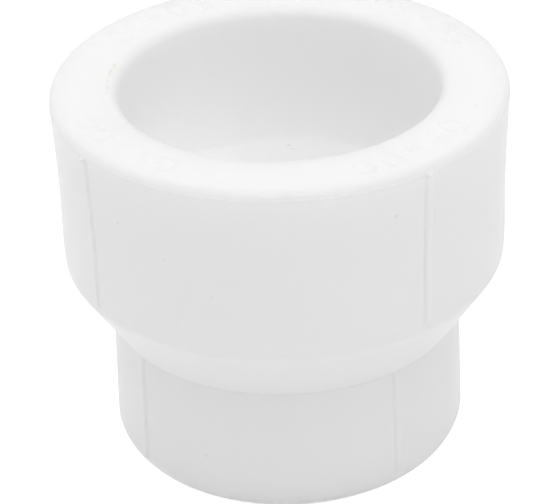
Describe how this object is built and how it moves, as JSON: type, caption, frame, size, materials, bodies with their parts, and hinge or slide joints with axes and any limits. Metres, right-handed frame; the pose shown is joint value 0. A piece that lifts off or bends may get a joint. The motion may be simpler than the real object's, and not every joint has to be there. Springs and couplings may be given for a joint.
{
  "type": "pipe reducer",
  "caption": "White moulded plastic reducing coupling for heat-welded pipe: a wide socket above, a narrower socket below, joined by a conical shoulder.",
  "frame": {"origin": "centre of the small end's flat face, which the part stands on", "axes": "+Z along the common axis of both sockets, towards the large end; +X and +Y point at two of the alignment marks"},
  "size_m": [0.0704, 0.0704, 0.0612],
  "materials": {
    "white_polypropylene": "satin, as moulded"
  },
  "bodies": {
    "root": {"reducer_body": "white_polypropylene"}
  },
  "joints": []
}
